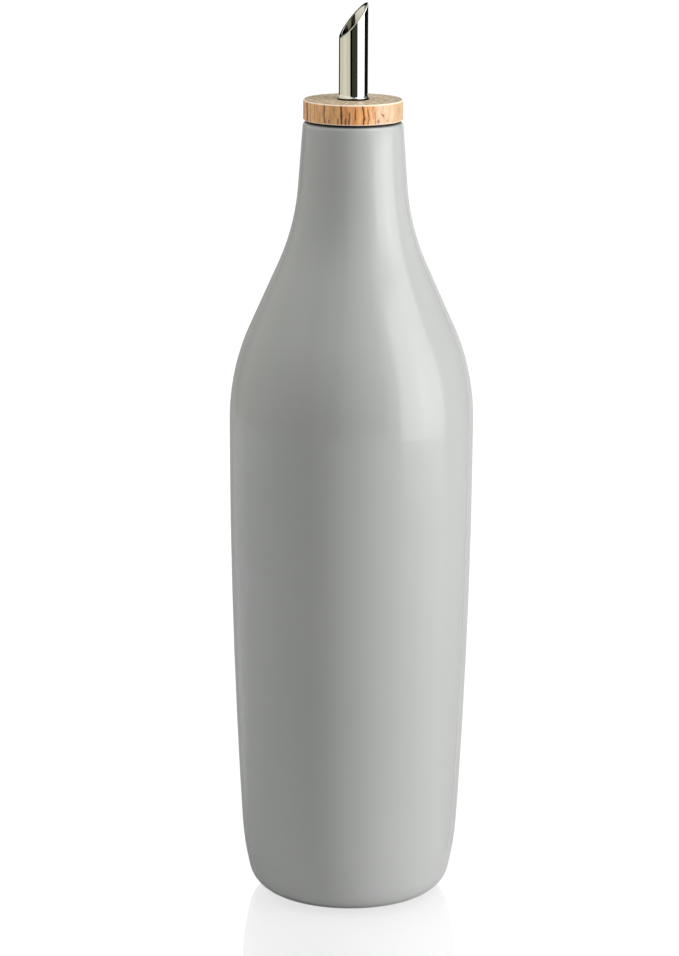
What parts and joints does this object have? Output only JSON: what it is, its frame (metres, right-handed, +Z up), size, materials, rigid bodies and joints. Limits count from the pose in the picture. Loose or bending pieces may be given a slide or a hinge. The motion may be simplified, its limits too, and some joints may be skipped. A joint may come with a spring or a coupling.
{
  "type": "ceramic oil dispenser",
  "caption": "Tall glazed ceramic bottle for cooking oil, with a sloping shoulder and slim neck, closed by a wooden collar and a slanted steel pouring tube.",
  "frame": {"origin": "middle of the bottle's base, on the surface it stands on", "axes": "+Z up along the bottle's axis; the tube's slanted mouth looks to -X and a little to -Y, its tip on the +X side"},
  "size_m": [0.083, 0.083, 0.3081],
  "materials": {
    "grey_glaze": "satin grey glaze with a soft sheen",
    "seal_rubber": "matt black",
    "beech": "oiled, with upright grain at the rim",
    "polished_steel": "mirror polished"
  },
  "bodies": {
    "root": {"bottle": "grey_glaze", "seal": "seal_rubber", "collar": "beech", "spout": "polished_steel"}
  },
  "joints": []
}
